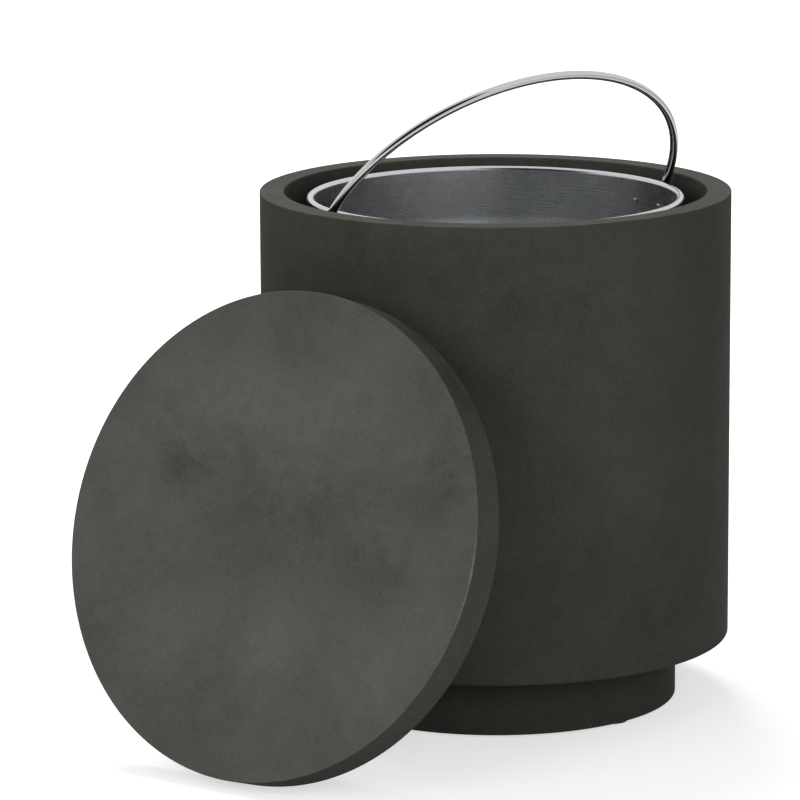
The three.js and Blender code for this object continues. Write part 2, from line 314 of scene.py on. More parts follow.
glide_low, glide_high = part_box(GLIDES[0])
glide_spot = middle_of(GLIDES[0])
glide_radius = width_of(GLIDES[0]) / 2
first_glide = begin(
    bpy.ops.mesh.primitive_cylinder_add, "rubber_glide_1", vertices=SMALL_SIDES, radius=glide_radius,
    depth=glide_high.z - glide_low.z, location=(0, 0, glide_spot.z),
)
round_ring(glide_radius, glide_low.z, GLIDE_ROUND, SMALL_STEPS)
settle(first_glide, Matrix.Translation((glide_spot.x, glide_spot.y, 0)))
glides = [first_glide] + [
    copy_of(first_glide, f"rubber_{node}", Matrix.Translation(middle_of(node) - glide_spot))
    for node in GLIDES[1:]
]

# %% [markdown]
# ## The bucket
#
# The bucket is one steel sheet, drawn to a tapered tub with a straight collar, and its edge
# is rolled outwards into a bead. Sheet metal is modelled best as its own forming goes: draw
# one surface, here the inside one, ring by ring, then give it the sheet's thickness. The
# bead is a circle of short steps, so that it catches the light as a real rolled edge does.
# A shallow ring is pressed into the base to stiffen it.

# %% Bucket sizes
BUCKET_GAP = 0.024
BUCKET_SHEET = 0.001
BUCKET_COLLAR = 0.046
BUCKET_TAPER = 0.028
BUCKET_BEAD = 0.0032
BUCKET_BASE_ROUND = 0.009
BUCKET_COLLAR_ROUND = 0.003
PRESSED_RING_RADIUS = 0.096
PRESSED_RING_WIDTH = 0.007
PRESSED_RING_RISE = 0.0008
BEAD_STEPS = 26
BUCKET_SIDES = 192

bucket_low, bucket_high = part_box("bucket_body")
BUCKET_TOP = bucket_high.z
BUCKET_BASE = bucket_low.z
COLLAR_RADIUS = DRUM_MOUTH - BUCKET_GAP
BASE_RADIUS = COLLAR_RADIUS - BUCKET_TAPER
COLLAR_BASE = BUCKET_TOP - BUCKET_COLLAR

# %% Draw the bucket's inside surface


def draw_rings(points, extrude):
    """Extrudes what is selected from one (radius, height) to the next."""
    for (radius, height), (next_radius, next_height) in zip(points, points[1:]):
        extrude(TRANSFORM_OT_translate={"value": (0, 0, next_height - height)})
        share = next_radius / radius
        bpy.ops.transform.resize(value=(share, share, 1), center_override=(0, 0, 0))


bead_radius = COLLAR_RADIUS - BUCKET_SHEET + BUCKET_BEAD
bead_height = BUCKET_TOP - BUCKET_BEAD
tucked = -math.acos((COLLAR_RADIUS + BUCKET_SHEET / 4 - bead_radius) / BUCKET_BEAD)
bead = [
    (bead_radius + BUCKET_BEAD * math.cos(angle), bead_height + BUCKET_BEAD * math.sin(angle))
    for angle in (math.pi + (tucked - math.pi) * step / BEAD_STEPS for step in range(BEAD_STEPS + 1))
]
inside_base = (BASE_RADIUS - BUCKET_SHEET, BUCKET_BASE + BUCKET_SHEET)
inside_collar = (COLLAR_RADIUS - BUCKET_SHEET, COLLAR_BASE)

bucket = begin(
    bpy.ops.mesh.primitive_circle_add, "steel_bucket", vertices=BUCKET_SIDES,
    radius=inside_base[0], location=(0, 0, inside_base[1]),
)
draw_rings([inside_base, inside_collar, *bead], bpy.ops.mesh.extrude_edges_move)

# %% Close the base, press its ring and give the sheet its thickness
pick_ring(*inside_base)
bpy.ops.mesh.edge_face_add()
round_ring(*inside_base, BUCKET_BASE_ROUND - BUCKET_SHEET, COVE_STEPS)
round_ring(*inside_collar, BUCKET_COLLAR_ROUND, FINE_STEPS)


def flat_base(face):
    return abs(face.normal.z) > FACING and len(face.verts) == BUCKET_SIDES


pick("FACE", flat_base)
bpy.ops.mesh.inset(thickness=BASE_RADIUS - BUCKET_BASE_ROUND - PRESSED_RING_RADIUS)
bpy.ops.mesh.inset(thickness=PRESSED_RING_WIDTH / 4)
bpy.ops.transform.translate(value=(0, 0, PRESSED_RING_RISE))
bpy.ops.mesh.inset(thickness=PRESSED_RING_WIDTH / 2)
bpy.ops.mesh.inset(thickness=PRESSED_RING_WIDTH / 4)
bpy.ops.transform.translate(value=(0, 0, -PRESSED_RING_RISE))
bpy.ops.mesh.select_all(action="SELECT")
bpy.ops.mesh.normals_make_consistent(inside=False)
bpy.ops.object.mode_set(mode="OBJECT")
faces_up = max(bucket.data.polygons, key=lambda face: face.area).normal.z > 0
if not faces_up:
    bucket.data.flip_normals()
modify(bucket, "SOLIDIFY", thickness=BUCKET_SHEET, offset=-1, use_even_offset=True)
bpy.ops.object.mode_set(mode="EDIT")
settle(bucket)

# %% [markdown]
# The bucket stands on a hoop with its lower edge turned in, which keeps the base off the
# drum's floor. It is made in the same way: one surface, a rounded corner, then thickness.

# %% Foot ring
FOOT_INSET = 0.006
FOOT_SHEET = 0.0016
FOOT_FLANGE = 0.004

foot_low, foot_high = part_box("bucket_foot_ring")
foot_radius = BASE_RADIUS - FOOT_INSET
foot_lip = (foot_radius - FOOT_SHEET - FOOT_FLANGE, foot_low.z)
foot_corner = (foot_radius, foot_low.z)
foot_ring = begin(
    bpy.ops.mesh.primitive_circle_add, "foot_ring", vertices=BUCKET_SIDES,
    radius=foot_lip[0], location=(0, 0, foot_lip[1]),
)
draw_rings([foot_lip, foot_corner, (foot_radius, foot_high.z)], bpy.ops.mesh.extrude_edges_move)
round_ring(*foot_corner, FOOT_SHEET, FINE_STEPS)
bpy.ops.object.mode_set(mode="OBJECT")
faces_down = min(foot_ring.data.polygons, key=lambda face: face.center.z).normal.z < 0
if not faces_down:
    foot_ring.data.flip_normals()
modify(foot_ring, "SOLIDIFY", thickness=FOOT_SHEET, offset=-1, use_even_offset=True)
bpy.ops.object.mode_set(mode="EDIT")
settle(foot_ring)

# %% [markdown]
# ## The ears
#
# Two straps are riveted to the collar, and the bail's ends swing in their eyes. A real strap
# is stamped flat from sheet and then pressed round the collar, with a bridge that stands off
# it. The script follows that: a flat blank is shaped with its tongue, rounded corners and
# eye, sliced so that it can bend, and then wrapped round the collar.

# %% Ear sizes
EAR_SHEET = 0.0015
EAR_RISE = 0.0045
EAR_LAND = 0.0026
EAR_DEPTH = 0.0155
EAR_WING_HEIGHT = 0.012
EAR_BRIDGE = 0.0085
EAR_RAMP = 0.004
EAR_WING = 0.0115
EAR_CORNER = 0.004
EAR_VALLEY = 0.0025
EAR_EDGE = 0.0003
EAR_EDGE_STEPS = 2
EAR_SLICE = 0.001
TONGUE_STEPS = 12
TONGUE_ROUNDING = 0.98
SEAT_GAP = 0.0003
ROD = 0.0036
ROD_PLAY = 0.0005
EYE = ROD + ROD_PLAY
EAR_TOP = BUCKET_TOP - 2 * BUCKET_BEAD - SEAT_GAP
PIVOT = EAR_TOP - EAR_LAND - EYE
EAR_REACH = EAR_BRIDGE + EAR_RAMP + EAR_WING
EAR_LOW = PIVOT - EAR_DEPTH
SHOULDER = EAR_LOW + EAR_WING_HEIGHT
TONGUE = EYE + EAR_LAND
BAIL_TURN = math.radians(31.34)

# %% A flat blank with a tongue


def pick_corners(places):
    """Selects the corners of the flat blank at these (across, up) places."""
    bpy.ops.mesh.select_mode(type="VERT")
    bpy.ops.mesh.select_all(action="DESELECT")
    mesh = bmesh.from_edit_mesh(bpy.context.object.data)
    for corner in mesh.verts:
        corner.select_set(any((Vector((x, z)) - corner.co.xz).length < NEAR for x, z in places))
    bmesh.update_edit_mesh(bpy.context.object.data)


def slice_at(across):
    bpy.ops.mesh.select_all(action="SELECT")
    bpy.ops.mesh.bisect(plane_co=(across, 0, 0), plane_no=(1, 0, 0))


first_ear = begin(
    bpy.ops.mesh.primitive_plane_add, "ear_1", size=1, rotation=(math.radians(90), 0, 0),
    location=(0, 0, (EAR_LOW + SHOULDER) / 2),
)
bpy.ops.mesh.select_all(action="SELECT")
bpy.ops.transform.resize(
    value=(2 * EAR_REACH, 1, EAR_WING_HEIGHT), center_override=(0, 0, (EAR_LOW + SHOULDER) / 2),
)
slice_at(-TONGUE)
slice_at(TONGUE)


def tongue_root(edge):
    ends = [end.co for end in edge.verts]
    return all(abs(end.z - SHOULDER) < NEAR and abs(end.x) < TONGUE + NEAR for end in ends)


pick("EDGE", tongue_root)
bpy.ops.mesh.extrude_edges_move(TRANSFORM_OT_translate={"value": (0, 0, EAR_TOP - SHOULDER)})

# %% Round its corners, give it thickness and pierce the eye
for corners, by, steps in (
    ([(-EAR_REACH, EAR_LOW), (EAR_REACH, EAR_LOW)], EAR_CORNER, FINE_STEPS),
    ([(-EAR_REACH, SHOULDER), (EAR_REACH, SHOULDER)], EAR_CORNER, FINE_STEPS),
    ([(-TONGUE, SHOULDER), (TONGUE, SHOULDER)], EAR_VALLEY, FINE_STEPS),
    ([(-TONGUE, EAR_TOP), (TONGUE, EAR_TOP)], TONGUE * TONGUE_ROUNDING, TONGUE_STEPS),
):
    pick_corners(corners)
    bpy.ops.mesh.bevel(offset=by, segments=steps, profile=0.5, affect="VERTICES")
bpy.ops.object.mode_set(mode="OBJECT")
modify(first_ear, "SOLIDIFY", thickness=EAR_SHEET, offset=0)
first_ear.data.transform(Matrix.Translation((0, EAR_SHEET / 2, 0)))
eye = begin(
    bpy.ops.mesh.primitive_cylinder_add, "eye", vertices=SMALL_SIDES, radius=EYE,
    depth=4 * EAR_SHEET, rotation=(math.radians(90), 0, 0), location=(0, 0, PIVOT),
)
bpy.ops.object.mode_set(mode="OBJECT")
cut_away(first_ear, eye)
bpy.ops.object.mode_set(mode="OBJECT")
modify(first_ear, "BEVEL", width=EAR_EDGE, segments=EAR_EDGE_STEPS, limit_method="ANGLE")

# %% Slice the blank and wrap it round the collar
bpy.ops.object.mode_set(mode="EDIT")
slices = int(EAR_REACH / EAR_SLICE)
for step in range(1 - slices, slices):
    slice_at(step * EAR_SLICE)


def eased(share):
    """A ramp from 0 to 1 that leaves and arrives softly."""
    return share * share * (3 - 2 * share)


def stand_off(across):
    """The strap's distance from the axis: on the collar at its wings, away from it at its bridge."""
    share = min(max((EAR_BRIDGE + EAR_RAMP - abs(across)) / EAR_RAMP, 0), 1)
    return COLLAR_RADIUS + SEAT_GAP + (EAR_RISE - SEAT_GAP) * eased(share)


def wrap(piece):
    mesh = bmesh.from_edit_mesh(piece.data)
    for corner in mesh.verts:
        across, outwards, height = corner.co
        angle = -across / COLLAR_RADIUS
        radius = stand_off(across) + outwards
        corner.co = (radius * math.cos(angle), radius * math.sin(angle), height)
    bmesh.update_edit_mesh(piece.data)


wrap(first_ear)
settle(first_ear, turn(BAIL_TURN, "Z"))
second_ear = copy_of(first_ear, "ear_2", turn(math.pi, "Z"))

# %% [markdown]
# ## The rivets
#
# Two rivets hold each ear. Each has a low round head outside and a flat one inside. The same
# drawing of rings that made the bucket makes them, this time from a filled circle, so that
# every step closes on itself.

# %% Rivets
RIVET_SHANK = 0.002
RIVET_HEAD = 0.0036
RIVET_DOME = 0.0019
RIVET_FLAT = 0.0008
RIVET_DROP = 0.0092
TINY_SIDES = 32
DOME_STEPS = 8

inner_head = COLLAR_RADIUS - BUCKET_SHEET - SEAT_GAP
outer_head = COLLAR_RADIUS + EAR_SHEET + 2 * SEAT_GAP
rivet_angle = (EAR_BRIDGE + EAR_RAMP + EAR_WING / 2) / COLLAR_RADIUS
dome = [
    (RIVET_HEAD * math.cos(angle), outer_head + RIVET_DOME * math.sin(angle))
    for angle in (math.pi / 2 * step / DOME_STEPS for step in range(DOME_STEPS))
]
soft = RIVET_FLAT / 2
rivet_rings = [
    (RIVET_HEAD - soft, inner_head - RIVET_FLAT), (RIVET_HEAD, inner_head - soft),
    (RIVET_HEAD, inner_head), (RIVET_SHANK, inner_head), (RIVET_SHANK, outer_head), *dome,
]
first_rivet = begin(
    bpy.ops.mesh.primitive_circle_add, "rivet_1", vertices=TINY_SIDES, radius=rivet_rings[0][0],
    location=(0, 0, rivet_rings[0][1]), fill_type="NGON",
)
draw_rings(rivet_rings, bpy.ops.mesh.extrude_region_move)


def rivet_place(angle):
    along_x = turn(math.radians(90), "Y")
    return turn(BAIL_TURN + angle, "Z") @ Matrix.Translation((0, 0, PIVOT - RIVET_DROP)) @ along_x


settle(first_rivet, rivet_place(-rivet_angle))
rivets = [first_rivet] + [
    copy_of(first_rivet, f"rivet_{number}", turn(angle + rivet_angle, "Z"))
    for number, angle in enumerate((rivet_angle, math.pi - rivet_angle, math.pi + rivet_angle), start=2)
]

# %% [markdown]
# ## The bail
#
# The handle is one round rod, bent. Spin does with a circle what the bending machine does
# with the rod: straight out through the eye, round a tight bend, over in a half circle, and
# in again. Each spin starts from the face where the last one stopped.

# %% Bail
BAIL_STANDOFF = 0.0115
BAIL_BEND = 0.0055
BAIL_END_GAP = 0.0016
BAIL_END_ROUND = 0.0008
BAIL_LEAN = math.radians(40.4)
ROD_SIDES = 32
BEND_STEPS = 12
ARCH_STEPS = 144

arch_radius = COLLAR_RADIUS + BAIL_STANDOFF
bend_across = math.sqrt((arch_radius - BAIL_BEND) ** 2 - BAIL_BEND ** 2)
bend_past = math.atan2(BAIL_BEND, bend_across)
bail_tip = COLLAR_RADIUS + BAIL_END_GAP
bail = begin(
    bpy.ops.mesh.primitive_circle_add, "bail", vertices=ROD_SIDES, radius=ROD,
    location=(bail_tip, 0, 0), rotation=(0, math.radians(90), 0), fill_type="NGON",
)
bpy.ops.mesh.select_all(action="SELECT")
bpy.ops.mesh.extrude_region_move(TRANSFORM_OT_translate={"value": (bend_across - bail_tip, 0, 0)})
for steps, angle, centre in (
    (BEND_STEPS, math.radians(90) + bend_past, (bend_across, 0, BAIL_BEND)),
    (ARCH_STEPS, math.pi - 2 * bend_past, (0, 0, 0)),
    (BEND_STEPS, math.radians(90) + bend_past, (-bend_across, 0, BAIL_BEND)),
):
    bpy.ops.mesh.spin(steps=steps, angle=angle, center=centre, axis=(0, 1, 0))
bpy.ops.mesh.extrude_region_move(TRANSFORM_OT_translate={"value": (bend_across - bail_tip, 0, 0)})
bpy.ops.mesh.select_all(action="SELECT")
bpy.ops.mesh.remove_doubles(threshold=NEAR / 10)


def rod_end(edge):
    return all(abs(abs(end.co.x) - bail_tip) < NEAR and abs(end.co.z) < 2 * ROD for end in edge.verts)


pick("EDGE", rod_end)
bpy.ops.mesh.bevel(offset=BAIL_END_ROUND, segments=SMALL_STEPS, affect="EDGES")
settle(bail, Matrix.Translation((0, 0, PIVOT)) @ turn(BAIL_TURN, "Z") @ turn(BAIL_LEAN, "X"))

# %% [markdown]
# ## The lid
#
# The lid is a cast slab as wide as the drum. Under it is a foam plug that keeps the cold in,
# wider at the top so that it finds the bucket's mouth by itself, and four small pads that
# keep cement off cement. It is modelled flat, underside at zero, and then leant as it stands.
# The middle of the slab's box in the frame is the middle of the slab, since both are round.

# %% Where the lid leans
LID_THICKNESS = 0.0322
LID_LEAN = math.radians(18.3)
LID_TURN = math.radians(-34.5)
LID_ROUND = 0.0012

lid_turned = turn(LID_TURN, "Z") @ turn(math.radians(90) - LID_LEAN, "X")
down_to_underside = Matrix.Translation((0, 0, -LID_THICKNESS / 2))
lid_place = Matrix.Translation(middle_of("lid_slab")) @ lid_turned @ down_to_underside

# %% Slab
slab = begin(
    bpy.ops.mesh.primitive_cylinder_add, "slab_lid", vertices=CAST_SIDES, radius=DRUM_RADIUS,
    depth=LID_THICKNESS, location=(0, 0, LID_THICKNESS / 2),
)
round_ring(DRUM_RADIUS, LID_THICKNESS, LID_ROUND, FINE_STEPS)
round_ring(DRUM_RADIUS, 0, LID_ROUND, FINE_STEPS)
settle(slab, lid_place)

# %% Plug with the seam of its moulded skin
PLUG_DEPTH = 0.0492
PLUG_CLEARANCE = 0.006
PLUG_DRAFT = 0.0025
PLUG_ROUND = 0.004
SEAM_WIDTH = 0.0016
SEAM_DEPTH = 0.0006

plug_wide = COLLAR_RADIUS - BUCKET_SHEET - PLUG_CLEARANCE
plug_narrow = plug_wide - PLUG_DRAFT
plug = begin(
    bpy.ops.mesh.primitive_cone_add, "foam_plug", vertices=BUCKET_SIDES, radius1=plug_narrow,
    radius2=plug_wide, depth=PLUG_DEPTH, location=(0, 0, -SEAT_GAP - PLUG_DEPTH / 2),
)
round_ring(plug_narrow, -SEAT_GAP - PLUG_DEPTH, PLUG_ROUND, COVE_STEPS)
seam_height = -SEAT_GAP - PLUG_DEPTH / 4
for height in (seam_height, seam_height - SEAM_WIDTH):
    bpy.ops.mesh.select_all(action="SELECT")
    bpy.ops.mesh.bisect(plane_co=(0, 0, height), plane_no=(0, 0, 1))


def seam_band(face):
    return abs(face.calc_center_median().z - (seam_height - SEAM_WIDTH / 2)) < NEAR


pick("FACE", seam_band)
bpy.ops.mesh.extrude_region_move()
sink = 1 - SEAM_DEPTH / plug_wide
bpy.ops.transform.resize(value=(sink, sink, 1 / 2), center_override=(0, 0, seam_height - SEAM_WIDTH / 2))
settle(plug, lid_place)

# %% Pads
PAD_ROUND = 0.0006
PAD_RADIUS = 0.006
PAD_THICKNESS = 0.0016
PAD_REACH = DRUM_RADIUS - DRUM_WALL / 2

first_pad = begin(
    bpy.ops.mesh.primitive_cylinder_add, "pad_1", vertices=TINY_SIDES, radius=PAD_RADIUS,
    depth=PAD_THICKNESS, location=(0, 0, -SEAT_GAP - PAD_THICKNESS / 2),
)
round_ring(PAD_RADIUS, -SEAT_GAP - PAD_THICKNESS, PAD_ROUND, SMALL_STEPS)
quarter = math.radians(90)
out_to_rim = Matrix.Translation((PAD_REACH, 0, 0))
settle(first_pad, lid_place @ turn(quarter / 2, "Z") @ out_to_rim)
pads = [first_pad] + [
    copy_of(first_pad, f"pad_{number + 1}", lid_place @ turn(number * quarter, "Z") @ lid_place.inverted())
    for number in (1, 2, 3)
]

# %% [markdown]
# ## Shader maths as Python
#
# A finish is a sum of patterns, and a sum reads best as a sum. The Wire class wraps one
# output of a node, so that `1 - mask * 0.5` adds the two Math nodes that say so. The Finish
# class owns one material and has the one method that adds any node: its type, its settings
# and its sockets.

# %% Wire and Finish


class Wire:
    """One output of a node, for use in sums."""

    def __init__(self, finish, socket):
        self.finish = finish
        self.socket = socket

    def maths(self, operation, first, second=0.0, clamp=False):
        settings = {"operation": operation, "use_clamp": clamp}
        return self.finish.node("ShaderNodeMath", settings, {0: first, 1: second})

    def __add__(self, other):
        return self.maths("ADD", self, other)

    def __sub__(self, other):
        return self.maths("SUBTRACT", self, other)

    def __rsub__(self, other):
        return self.maths("SUBTRACT", other, self)

    def __mul__(self, other):
        return self.maths("MULTIPLY", self, other)

    def __pow__(self, other):
        return self.maths("POWER", self, other)

    __radd__ = __add__
    __rmul__ = __mul__

    def limited(self):
        """The same value, kept between 0 and 1."""
        return self.maths("ADD", self, 0.0, clamp=True)

    def over(self, level):
        """1 where the value is over a level, and 0 elsewhere."""
        return self.maths("GREATER_THAN", self, level)


class Finish:
    """One material, built node by node."""

    def __init__(self, name, tree=None):
        if tree is None:
            self.material = bpy.data.materials.new(name)
            self.material.use_nodes = True
            tree = self.material.node_tree
        self.tree = tree
        self.tree.nodes.clear()

    def node(self, kind, settings=None, sockets=None, out=0):
        node = self.tree.nodes.new(kind)
        for name, value in (settings or {}).items():
            setattr(node, name, value)
        for name, value in (sockets or {}).items():
            if isinstance(value, Wire):
                self.tree.links.new(value.socket, node.inputs[name])
            else:
                node.inputs[name].default_value = value
        return Wire(self, node.outputs[out]) if node.outputs else None

    def place(self):
        """Where a point is on the piece, in metres."""
        return self.node("ShaderNodeTexCoord", out="Object")

    def seen_from(self, matrix):
        """The same, in a frame of its own, such as the leaning lid's."""
        sockets = {"Vector": self.place(), "Location": matrix.translation, "Rotation": matrix.to_euler()}
        return self.node("ShaderNodeMapping", {"vector_type": "TEXTURE"}, sockets)

    def parts(self, place):
        return [self.node("ShaderNodeSeparateXYZ", None, {0: place}, axis) for axis in "XYZ"]

    def joined(self, x, y, z):
        return self.node("ShaderNodeCombineXYZ", None, {"X": x, "Y": y, "Z": z})

    def noise(self, place, size, layers, strength):
        """Soft noise about zero: blotches this many metres wide, with finer layers over them."""
        sockets = {"Vector": place, "Scale": 1 / size, "Detail": layers, "Roughness": strength}
        return (self.node("ShaderNodeTexNoise", None, sockets) - 0.5) * 2

    def vector(self, operation, first, second, out="Vector"):
        return self.node("ShaderNodeVectorMath", {"operation": operation}, {0: first, 1: second}, out)

    def shade(self, colour, factor):
        """A colour made lighter or darker by a factor that changes over the surface."""
        return self.node("ShaderNodeVectorMath", {"operation": "SCALE"}, {0: colour, "Scale": factor})

    def surface(self, bump_height, bump_depth, **sockets):
        """Ends the material: a Principled shader with a bump and the given sockets."""
        bump = {"Height": bump_height, "Distance": bump_depth, "Strength": 1.0}
        named = {name.replace("_", " "): value for name, value in sockets.items()}
        named["Normal"] = self.node("ShaderNodeBump", None, bump)
        shader = self.node("ShaderNodeBsdfPrincipled", None, named)
        self.node("ShaderNodeOutputMaterial", None, {"Surface": shader})
        print(f"{self.material.name}: {len(self.tree.nodes)} shader nodes")
        return self.material


def distance(first, second):
    """The length of the hypotenuse of two wires."""
    return (first * first + second * second) ** 0.5


# %% [markdown]
# ## The cast cement
#
# Cast cement is never one grey. It has broad clouds where the wet mix settled, a finer
# mottling, a speckle, a grain of fine sand, and here and there a pinhole that an air bubble
# left. Its edges are paler, partly from wear and partly from a painted highlight, which is
# brightest in one place on the lid. Four sizes of noise give the first four. Each is written
# as its size in metres, how many finer layers lie over it, and how strong they are. The
# pinholes come from a Voronoi pattern: each cell has a random colour, and only the cells
# over a high level get a hole.
#
# Noise alone would put the clouds anywhere, so the largest are soft round patches, placed one
# by one, whose outlines the noise makes ragged.

# %% Pinholes and soft round patches
HOLE_CELL = 0.011
HOLE_IN_CELL = 0.035
HOLE_LEVEL = 0.8


def holes(finish, place):
    """1 in a few small pinholes, 0 elsewhere."""
    sockets = {"Vector": place, "Scale": 1 / HOLE_CELL}
    near = finish.node("ShaderNodeTexVoronoi", None, sockets, "Distance")
    colour = finish.node("ShaderNodeTexVoronoi", None, sockets, "Color")
    chance = finish.parts(colour)[0]
    return (1 - near * (1 / HOLE_IN_CELL)).limited() * chance.over(HOLE_LEVEL)


def soft_round_patch(x, y, across, up, size):
    """A soft round patch: 1 in its middle, 0 from this far out."""
    return eased((1 - distance(x - across, y - up) * (1 / size)).limited())


# %% One cement for the drum, the plinth and the lid
CLOUD = (0.11, 5.0, 0.58)
MOTTLE = (0.035, 6.0, 0.68)
SPECKLE = (0.009, 2.0, 0.5)
GRAIN = (0.0013, 3.0, 0.6)
RAGGED = (0.0175, 4.0, 0.6)
RAGGED_REACH = 0.03
CLOUD_TONE = 0.24
MOTTLE_TONE = 0.2
SPECKLE_TONE = 0.09
GRAIN_TONE = 0.5
HOLE_TONE = 0.45
# The paler edge is partly wear and partly a painted highlight.
WEAR_AND_HIGHLIGHT_REACH = 0.0016
WEAR_AND_HIGHLIGHT_PATCHY = 0.6
WEAR_AND_HIGHLIGHT_TONE = 0.35
# How much brighter the painted highlight makes the edge.
PAINTED_HIGHLIGHT_MORE = 9
FINE_EDGE = 0.0004
RELIEF = 0.00012
GRAIN_RELIEF = 0.4
MOTTLE_RELIEF = 0.6
HOLE_RELIEF = 4
CEMENT_ROUGH = 0.86
CLOUD_ROUGH = 0.1
WORN_SMOOTH = 0.15
CEMENT_SHINE = 0.08


def cement(
    name, tint, radius, height, paler=0.0, mottle_tone=MOTTLE_TONE, leaning=None,
    tone_patches=(), side_shade=(), painted_highlight=None,
):
    """A cast surface whose edge, the ring at this radius and height, is paler from wear and from
    a painted highlight.

    Its top, over that ring, is paler by a share: on the drum this is painted light on the rim's
    top, and on the lid it is the paler face. Tone patches lie on the leaning lid's face, or else
    on the drum's front, as seen from straight ahead; on the drum they paint light and shade as
    well as stains. Side shade is painted shade that leaves the top alone. The painted highlight
    is where the edge is brightest.
    """
    finish = Finish(name)
    place = finish.seen_from(leaning or Matrix.Identity(4))
    x, y, z = finish.parts(place)
    upwards = y if leaning else z
    clouds = finish.noise(place, *CLOUD)
    mottling = finish.noise(place, *MOTTLE)
    speckle = finish.noise(place, *SPECKLE)
    grain = finish.noise(place, *GRAIN)
    pits = holes(finish, place)
    # The edge is paler, partly from wear and partly from a painted highlight.
    wear_and_highlight = (1 - distance(distance(x, y) - radius, z - height) * (1 / WEAR_AND_HIGHLIGHT_REACH)).limited()
    wear_and_highlight = wear_and_highlight * (WEAR_AND_HIGHLIGHT_PATCHY + mottling)
    # A painted highlight, brightest in one place on the edge.
    if painted_highlight:
        wear_and_highlight = wear_and_highlight * (1 + soft_round_patch(x, upwards, *painted_highlight) * PAINTED_HIGHLIGHT_MORE)
    factor = 1 + clouds * CLOUD_TONE + mottling * mottle_tone + speckle * SPECKLE_TONE + grain * GRAIN_TONE
    factor = factor + wear_and_highlight * WEAR_AND_HIGHLIGHT_TONE - pits * HOLE_TONE
    ragged_x = x + mottling * RAGGED_REACH
    ragged_up = upwards + finish.noise(place, *RAGGED) * RAGGED_REACH
    # Patches of tone; on the drum some of them are painted light and shade.
    for across, up, size, change in tone_patches:
        factor = factor + soft_round_patch(ragged_x, ragged_up, across, up, size) * change
    top = ((z - height) * (1 / FINE_EDGE) + 1).limited()
    # Painted shade on the side, below the top.
    for across, up, size, change in side_shade:
        factor = factor + (1 - top) * soft_round_patch(x, upwards, across, up, size) * change
    factor = factor * (1 + top * paler)
    return finish.surface(
        grain * GRAIN_RELIEF + mottling * MOTTLE_RELIEF - pits * HOLE_RELIEF, RELIEF,
        Base_Color=finish.shade(tint, factor),
        Roughness=(CEMENT_ROUGH + clouds * CLOUD_ROUGH - wear_and_highlight * WORN_SMOOTH).limited(),
        Specular_IOR_Level=CEMENT_SHINE,
    )


# %% [markdown]
# Each row says how far across and up the middle of a patch is and how far it reaches, all in
# metres, and then by what share it is paler, or darker below zero. Across and up start from
# the lid's middle or from the foot of the drum's front. The lid's patches are stains; the
# drum's are partly stains and partly painted light and shade. The lid's side has painted
# shade of its own, and one painted highlight where its edge is brightest.

# %% Where the clouds, painted light and painted shade lie
LID_STAINS = [
    (-0.110, 0.115, 0.060, 0.21), (-0.052, 0.112, 0.055, 0.21), (0.000, 0.103, 0.060, 0.18),
    (0.070, 0.120, 0.090, 0.09), (-0.100, -0.088, 0.060, 0.13), (-0.060, -0.088, 0.060, 0.10),
    (0.000, -0.092, 0.060, 0.10), (0.030, -0.082, 0.055, 0.12), (0.122, -0.090, 0.055, 0.17),
    (-0.190, -0.035, 0.045, 0.11), (-0.099, 0.043, 0.034, -0.34), (0.150, 0.050, 0.055, -0.20),
    (0.112, -0.018, 0.055, -0.16), (-0.020, 0.008, 0.070, -0.10), (0.055, 0.000, 0.080, -0.07),
    (0.130, 0.130, 0.050, -0.10), (-0.135, 0.000, 0.130, 0.11), (0.000, 0.175, 0.060, -0.12),
    (0.185, 0.000, 0.045, -0.12),
]
# Painted shade on the lid's side: darker at its foot and at its upper right.
LID_SIDE_PAINTED_SHADE = [
    (0.042, -0.196, 0.090, -0.58), (0.094, 0.177, 0.090, -0.46), (0.153, 0.129, 0.060, -0.26),
]
# A painted highlight on the lid's right edge: across, up and how far it reaches.
LID_PAINTED_HIGHLIGHT = (0.2, -0.008, 0.05)
# Partly stains and partly painted light and shade: a paler band right of the middle, painted shadow beside
# the lid, and darker sides.
DRUM_PAINTED_LIGHT_AND_STAINS = [
    (0.112, 0.385, 0.075, 0.14), (0.128, 0.320, 0.060, 0.07), (0.098, 0.205, 0.080, 0.15),
    (0.045, 0.100, 0.080, 0.09), (-0.030, 0.330, 0.060, -0.12), (-0.140, 0.370, 0.080, -0.13),
    (-0.060, 0.400, 0.070, -0.08), (0.020, 0.370, 0.060, -0.07), (0.130, 0.090, 0.050, -0.09),
    (0.186, 0.385, 0.050, -0.06), (0.190, 0.150, 0.080, -0.07), (0.095, 0.240, 0.160, 0.07),
]

# %% Mix the three cements
CEMENT = (0.0440, 0.0457, 0.0386)
CEMENT_LID = (0.0550, 0.0568, 0.0500)
# Painted shade: the plinth, in shadow under the drum, is made darker.
PLINTH_PAINTED_SHADE = 0.87
# Painted light: the top of the drum's rim is made paler, as if lit from above.
RIM_TOP_PAINTED_LIGHT = 0.6
FACE_PALER = 0.36
DRUM_MOTTLE_TONE = 0.24

drum_cement = cement(
    "drum_cement", CEMENT, DRUM_RADIUS, DRUM_TOP, RIM_TOP_PAINTED_LIGHT, DRUM_MOTTLE_TONE, tone_patches=DRUM_PAINTED_LIGHT_AND_STAINS,
)
# The plinth's cement, darkened by painted shade.
plinth_shaded_tint = Vector(CEMENT) * PLINTH_PAINTED_SHADE
plinth_cement = cement("plinth_cement", plinth_shaded_tint, plinth_radius, plinth_low.z)
lid_cement = cement(
    "lid_cement", CEMENT_LID, DRUM_RADIUS, LID_THICKNESS, FACE_PALER, leaning=lid_place,
    tone_patches=LID_STAINS, side_shade=LID_SIDE_PAINTED_SHADE, painted_highlight=LID_PAINTED_HIGHLIGHT,
)

